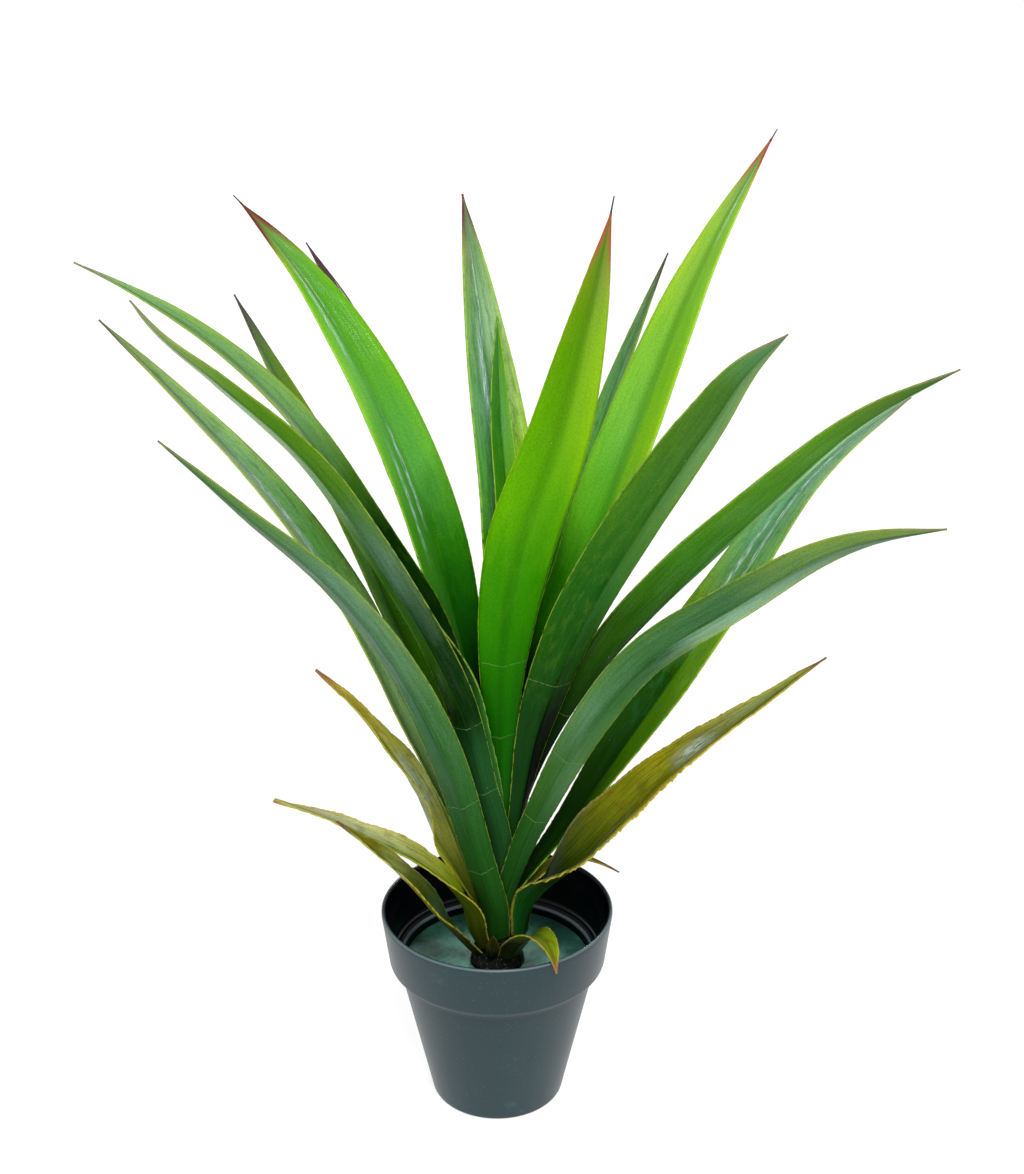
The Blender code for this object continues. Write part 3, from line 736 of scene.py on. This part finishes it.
def ease(x):
    """0 below 0, 1 above 1 and smooth between them."""
    x = min(1.0, max(0.0, x))
    return x * x * (3.0 - 2.0 * x)


def heading(degrees):
    angle = math.radians(degrees)
    return Vector((math.cos(angle), math.sin(angle), 0.0))


def route_knots(points):
    """Distance along the route at each of its points."""
    knots = [0.0]
    for first, second in zip(points, points[1:]):
        knots.append(knots[-1] + (second - first).length)
    return knots


def route_slopes(points, knots):
    """Slopes for a smooth curve that passes through every point of the route."""
    last = len(points) - 1
    slopes = [Vector((0.0, 0.0, 0.0)) for _ in points]
    for i in range(1, last):
        before = knots[i] - knots[i - 1]
        after = knots[i + 1] - knots[i]
        rise_before = (points[i] - points[i - 1]) / before
        rise_after = (points[i + 1] - points[i]) / after
        slopes[i] = (rise_before * after + rise_after * before) / (before + after)
    slopes[0] = 1.5 * (points[1] - points[0]) / (knots[1] - knots[0]) - 0.5 * slopes[1]
    end_rise = (points[-1] - points[-2]) / (knots[-1] - knots[-2])
    slopes[last] = 1.5 * end_rise - 0.5 * slopes[last - 1]
    return slopes


def route_point(points, knots, slopes, distance):
    """The place at a distance along the route, on the cubic between its two knots."""
    i = 0
    while i < len(points) - 2 and distance > knots[i + 1]:
        i += 1
    span = knots[i + 1] - knots[i]
    u = (distance - knots[i]) / span
    start = (1 + 2 * u) * (1 - u) ** 2 * points[i] + u * (1 - u) ** 2 * span * slopes[i]
    end = u * u * (3 - 2 * u) * points[i + 1] + u * u * (u - 1) * span * slopes[i + 1]
    return start + end


def centre_line(leaf):
    """Evenly spaced points of the midrib, and the length of the route."""
    points = [Vector(point) * MM for point in leaf["route"]]
    knots = route_knots(points)
    slopes = route_slopes(points, knots)
    rows = round(knots[-1] / ROW_SPACING)
    stations = [knots[-1] * i / rows for i in range(rows + 1)]
    return [route_point(points, knots, slopes, station) for station in stations], knots[-1]


def line_direction(line, i):
    ahead = line[min(i + 1, len(line) - 1)]
    behind = line[max(i - 1, 0)]
    return (ahead - behind).normalized()


def half_width(leaf, t):
    """Half the blade's width in metres, at a share t of its length."""
    if t < leaf["belly"]:
        share = leaf["neck"] + (1.0 - leaf["neck"]) * ease(t / leaf["belly"])
    else:
        past = (t - leaf["belly"]) / (1.0 - leaf["belly"])
        share = max(0.02, 1.0 - past ** leaf["taper"])
    return 0.5 * leaf["width"] * MM * share


def blade_axes(leaf, direction, t):
    """The axis across the blade, and the one that its outer face turns away from."""
    start, end = leaf["keel"]
    turn = (end - start + 180.0) % 360.0 - 180.0
    outward = heading(start + turn * ease(t / 0.5))
    across = Vector((0.0, 0.0, 1.0)).cross(outward)
    across = (across - across.dot(direction) * direction).normalized()
    inward = direction.cross(across)
    roll = math.radians(leaf["roll"]) * ease(t / 0.35)
    rolled = math.cos(roll) * across + math.sin(roll) * inward
    return rolled, math.cos(roll) * inward - math.sin(roll) * across


def ruffle(seed, *place):
    return noise.noise(Vector((*place, seed)))


def edge_nicks(paints, seed, t, run, side):
    """How far nicks and a frill push the blade's edge out, in millimetres."""
    nick = ruffle(seed, run / 5.0, side * 2.0) + 0.8 * ruffle(seed + 5.0, run / 2.0, side * 2.0)
    fading = 1.0 - 0.75 * ease(t / 0.5) if paints["sort"] != "old" else 1.0
    ragged = paints["ragged"] * fading * nick
    frilled_half, frill = paints["frill"]
    if side * frilled_half > 0:
        bite = 0.6 + ruffle(seed + 2.0, run / 7.0, 0.0) + 0.7 * ruffle(seed + 3.0, run / 2.5, 0.0)
        ragged += frill * bite * ease((t - FRILL_START) / 0.1) * ease((FRILL_END - t) / 0.15)
    return ragged * ease((abs(side) - 0.8) / 0.2)


def face_waves(paints, seed, run, side):
    """How far the face of the blade rises and falls, in millimetres."""
    wave = paints["wave"] * side * side * ruffle(seed + 9.0, run / 42.0, side * 1.2)
    return wave + 0.12 * paints["wave"] * ruffle(seed + 7.0, run / 11.0, side * 2.5)


def blade_point(leaf, paints, seed, line, i, side):
    """A point of the blade: i counts along its length, side runs from -1 to 1 across it."""
    t = i / (len(line) - 1)
    run = i * ROW_SPACING / MM
    across, inward = blade_axes(leaf, line_direction(line, i), t)
    half = half_width(leaf, t)
    fold = math.radians(leaf["fold"] + BASE_EXTRA_FOLD * (1.0 - t) ** 2)
    # The root rounds the crease along the keel.
    rounded = math.sqrt(side * side + 0.003) - 0.055
    lift = half * (rounded - 0.5) * math.sin(fold)
    lift += face_waves(paints, seed, run, side) * MM * ease(4.0 * t)
    spread = half * math.cos(fold) * abs(side)
    spread += edge_nicks(paints, seed, t, run, side) * MM * min(1.0, half / (4.0 * MM))
    return line[i] + math.copysign(spread, side) * across + lift * inward


def leaf_mesh(name, leaf, paints, seed):
    """The blade as a bent grid, and its length in millimetres."""
    line, length = centre_line(leaf)
    rows = len(line) - 1
    bm = bmesh.new()
    bmesh.ops.create_grid(bm, x_segments=rows, y_segments=WIDTH_STEPS, size=1.0)
    shares = bm.loops.layers.uv.new("shares")
    sizes = bm.loops.layers.uv.new("sizes")
    for face in bm.faces:
        for loop in face.loops:
            t, side = (loop.vert.co.x + 1.0) / 2.0, loop.vert.co.y
            loop[shares].uv = (t, side)
            loop[sizes].uv = (t * length / MM, (1.0 - abs(side)) * half_width(leaf, t) / MM)
    for vert in bm.verts:
        i = round((vert.co.x + 1.0) / 2.0 * rows)
        vert.co = blade_point(leaf, paints, seed, line, i, vert.co.y)
    mesh = bpy.data.meshes.new(name)
    bm.to_mesh(mesh)
    bm.free()
    mesh.shade_smooth()
    return mesh, length / MM


class Blade:
    """Places and grains on one blade: along and off are shares, run and edge millimetres."""

    def __init__(self, name, reach, seed):
        self.paint = Paint(name)
        self.reach = reach
        self.seed = seed
        shares = self.paint.node("ShaderNodeUVMap", {}, uv_map="shares")
        sizes = self.paint.node("ShaderNodeUVMap", {}, uv_map="sizes")
        self.along, self.off, _ = self.paint.parts(shares)
        self.run, self.edge, _ = self.paint.parts(sizes)
        self.patches = self.grain(0.025, 0.06, 0.0)
        self.streaks = self.grain(0.030, 0.55, 20.0, 4.0)
        self.veins = self.grain(0.060, 1.60, 40.0)
        self.pebbles = self.grain(0.70, 0.80, 60.0, 4.0)

    def grain(self, along_scale, across_scale, shift, detail=3.0):
        """Noise that is drawn out along the blade, and is its own for each leaf and shift."""
        across = self.off * (self.reach * across_scale)
        values = {0: self.run * along_scale, 1: across, 2: self.seed + shift}
        place = self.paint.node("ShaderNodeCombineXYZ", values)
        return self.paint.cloud(1.0, detail, place)


def shade_blade(blade, paints):
    """The colours of both halves, partly sprayed and partly painted light and shade, with their
    streaks, spots, the painted shade beside the midrib and lighter edges.
    """
    paint = blade.paint
    drift = blade.along + (blade.patches - 0.5) * 0.12

    def shaded(shades):
        stops = [(place, tint(*colour)) for place, colour in shades]
        return paint.node("ShaderNodeValToRGB", {0: drift}, stops=stops)

    # The ramps hold painted light and shade as well as the sprayed colours.
    colour = shaded(paints["shades"])
    if "right_shades" in paints:
        off = blade.off + (blade.veins - 0.5) * 0.06
        right = paint.step(off, -paints["soft"], paints["soft"])
        colour = paint.blend(colour, shaded(paints["right_shades"]), right)
    lean = paint.step(blade.streaks, 0.42, 0.64)
    colour = paint.blend(colour, (0.55, 0.66, 0.45), lean * paints["streak"], "MULTIPLY")
    mottle = paint.step(blade.grain(0.09, 0.22, 80.0, 5.0), 0.50, 0.64)
    mottle = mottle * paint.step(blade.along, 0.22, 0.50)
    colour = paint.blend(colour, tint(*paints["spots"]), mottle * paints["blotch"])
    pitted = paint.step(blade.pebbles, 0.45, 0.60)
    colour = paint.blend(colour, (0.80, 0.86, 0.78), pitted, "MULTIPLY")
    # Painted shade: a dark band beside the midrib, where the fold is shaded.
    place, width, strength = paints["crease_shade"]
    crease_shade = 1.0 - paint.step(abs(blade.off - place), width * 0.1, width)
    colour = paint.blend(colour, (0.45, 0.58, 0.40), crease_shade * strength, "MULTIPLY")
    # Partly painted light: toward its edges the blade turns lighter and yellower, partly its own
    # yellow-green.
    glow = paint.step(abs(blade.off) + (blade.patches - 0.5) * 0.5, 0.40, 1.0)
    glow = glow * paint.step(blade.along, 0.15, 0.55)
    return paint.blend(colour, (1.45, 1.22, 0.62), glow * paints["glow"], "MULTIPLY")


def colour_margin(blade, paints, colour):
    """Where the thin pale flash round the edge lies, and the colour with it."""
    paint = blade.paint
    rim = paints["rim"]
    edge = blade.edge + (blade.veins - 0.5) * (rim * 2.0)
    margin = 1.0 - paint.step(edge, rim * 0.6, rim * 1.5)
    margin = margin * paint.step(blade.grain(0.20, 0.30, 90.0), 0.30, 0.55)
    return margin, paint.blend(colour, tint(*paints["margin"]), margin * 0.72)


def brown_tip(blade, paints, colour):
    tip_from = paints["tip_from"]
    browning = blade.along + abs(blade.off) * 0.08 + (blade.veins - 0.5) * 0.05
    browned = blade.paint.step(browning, tip_from + 0.03, tip_from + 0.12)
    return blade.paint.blend(colour, tint(*paints["tip"]), browned)


def draw_cross_lines(blade, places, colour, height):
    """Fine raised lines across the blade, at places in millimetres along it."""
    paint = blade.paint
    wander = (blade.patches - 0.5) * 4.0
    for place in places:
        mark = 1.0 - paint.step(abs(blade.run + wander - place), 0.10, 0.34)
        mark = mark * paint.step(blade.streaks, 0.35, 0.55)
        colour = paint.blend(colour, tint(140, 170, 104), mark * 0.38)
        height = height + mark * 0.4
    return colour, height


def glare_and_speck(blade, streaks, colour):
    """Painted highlights of whitish glare in streaks, and pin-sized pale specks all over."""
    paint = blade.paint
    # Painted highlight: pale bluish-white glare laid on in streaks.
    glare_grain = paint.step(blade.grain(0.10, 2.6, 140.0, 5.0), 0.47, 0.58)
    for place, width, start, end in streaks:
        glare = glare_grain * (1.0 - paint.step(abs(blade.off - place), width * 0.2, width))
        glare = glare * paint.step(blade.along, start - 0.04, start + 0.06)
        glare = glare * (1.0 - paint.step(blade.along, end - 0.06, end + 0.04))
        colour = paint.blend(colour, tint(214, 234, 240), glare * 0.85)
    specks = paint.step(blade.grain(0.9, 0.9, 100.0, 1.0), 0.80, 0.84)
    return paint.blend(colour, tint(214, 226, 190), specks * 0.8)


def leaf_finish(name, leaf, paints, length, seed):
    """Soft plastic under a clear coat that shines only in streaks."""
    blade = Blade(name, leaf["width"] / 2.0, seed)
    paint = blade.paint
    margin, colour = colour_margin(blade, paints, shade_blade(blade, paints))
    colour = brown_tip(blade, paints, colour)
    height = blade.pebbles * 0.35 + blade.veins * 0.4 + margin * 0.3
    places = [share * length for share in paints["lines"]]
    colour, height = draw_cross_lines(blade, places, colour, height)
    colour = glare_and_speck(blade, paints["painted_glare"], colour)
    rough = paints["rough"] + (blade.patches - 0.5) * 0.16 + (blade.pebbles - 0.5) * 0.20
    glints = paint.step(blade.grain(0.035, 1.2, 120.0, 4.0), 0.50, 0.60)
    smooth = paint.step(blade.streaks, 0.52, 0.38) * paint.step(blade.pebbles, 0.56, 0.42)
    sheen = (glints + 0.35 * smooth) * paint.step(blade.along, 0.12, 0.50)
    return paint.finish(
        colour, rough, height, depth=0.4 * MM, strength=0.55, coat_weight=sheen * paints["glint"],
        coat_roughness=0.12, coat_ior=1.45, specular_ior_level=0.015,
    )


def add_leaf(name, leaf, seed):
    """One leaf. Its seed gives it nicks, waves and grain of its own."""
    own = LEAF_PAINTS[name]
    paints = {**PLAIN_LEAF, **LEAF_SORTS[own["sort"]], **own}
    mesh, length = leaf_mesh(name + "_blade", leaf, paints, seed)
    plastic = leaf_finish(name + "_plastic", leaf, paints, length, seed)
    piece = add_piece(name + "_blade", mesh, plastic, name)
    solidify = piece.modifiers.new("thickness", "SOLIDIFY")
    solidify.thickness = BLADE_THICKNESS
    solidify.offset = 0.0


for seed, (name, form) in enumerate(LEAVES.items(), start=1):
    add_leaf(name, {**USUAL_FORM, **form}, seed)

# ---- tip wires --------------------------------------------------------------------------
# Each leaf is moulded over a thin steel wire. Where the plastic stops short of the wire's
# end, a few millimetres of it stand out of the tip, bare and rusted brown.

WIRE_RADIUS = 0.55 * MM
WIRE_END_RADIUS = 0.35 * MM
WIRE_SIDES = 10
WIRE_IN_TIP = 1.5 * MM
TIP_WIRE_LENGTHS = {
    "leaf_upper_left": 8.5 * MM,
    "leaf_front_centre": 11.5 * MM,
    "leaf_upper_right": 9.5 * MM,
}


def wire_finish():
    paint = Paint("brown_wire")
    rust = paint.cloud(700.0, 3.0)
    colour = paint.blend((0.020, 0.014, 0.012), (0.075, 0.040, 0.028), rust)
    return paint.finish(colour, 0.45, rust, depth=0.1 * MM, metallic=0.5)


def wire_mesh(leaf_name, length):
    """A straight end of wire that carries on where the leaf's midrib stops."""
    line, _ = centre_line(LEAVES[leaf_name])
    direction = line_direction(line, len(line) - 1)
    bm = bmesh.new()
    bmesh.ops.create_cone(
        bm, cap_ends=True, segments=WIRE_SIDES, radius1=WIRE_RADIUS, radius2=WIRE_END_RADIUS,
        depth=length,
    )
    turn = direction.to_track_quat("Z", "Y").to_matrix().to_4x4()
    middle = line[-1] + direction * (length / 2.0 - WIRE_IN_TIP)
    bmesh.ops.transform(bm, matrix=Matrix.Translation(middle) @ turn, verts=bm.verts)
    mesh = bpy.data.meshes.new(leaf_name + "_wire")
    bm.to_mesh(mesh)
    bm.free()
    mesh.shade_smooth()
    return mesh


wire_material = wire_finish()
for leaf_name, length in TIP_WIRE_LENGTHS.items():
    wire = leaf_name.replace("leaf", "tip_wire")
    add_piece(wire + "_end", wire_mesh(leaf_name, length), wire_material, wire)

# ---- glue and grit ----------------------------------------------------------------------
# Black glue mixed with grit is heaped round the foot of the stem, and holds the lowest
# leaves in the dip of the filler.

GLUE_TURNS = 96
GLUE_LUMPS = 0.05


def glue_finish():
    paint = Paint("black_glue_and_grit")
    lumps = paint.cloud(420.0, 5.0, roughness=0.7)
    stones = paint.step(paint.cloud(900.0, 2.0), 0.66, 0.72)
    colour = paint.blend((0.003, 0.003, 0.002), (0.030, 0.028, 0.020), paint.step(lumps, 0.5, 0.75))
    colour = paint.blend(colour, (0.45, 0.44, 0.38), stones * 0.6)
    rough = 0.22 + lumps * 0.3
    return paint.finish(
        colour, rough, lumps, depth=1.6 * MM, strength=1.0, specular_ior_level=0.2
    )


def glue_mesh():
    """A lumpy heap round the stem, smooth only where it lies in the dip."""
    profile = [(5.75, 92.9), (5.75, 105.0), (5.75, 117.2), (6.9, 118.0), (9.0, 118.1)]
    profile += [(10.5, 118.0), (12.5, 116.5)]
    profile += [(12.5 + i * 0.5, 116.5 - i * 1.94) for i in range(1, 9)]
    profile += [(17.2, 98.4), (17.5, 96.2), (16.7, 94.4), (16.6, 92.9), (5.75, 92.9)]
    mesh = turned_mesh("glue_and_grit", profile, GLUE_TURNS)
    for vert in mesh.vertices:
        radius = math.hypot(vert.co.x, vert.co.y)
        if vert.co.z > FILLER_TOP_MM * MM and radius > 8.0 * MM:
            lump = noise.fractal(vert.co * 260.0, 0.8, 2.0, 3)
            vert.co.x *= 1.0 + GLUE_LUMPS * lump
            vert.co.y *= 1.0 + GLUE_LUMPS * lump
            vert.co.z += 0.5 * MM * noise.noise(vert.co * 400.0)
    return mesh


add_piece("glue_and_grit", glue_mesh(), glue_finish(), "glue_plug")
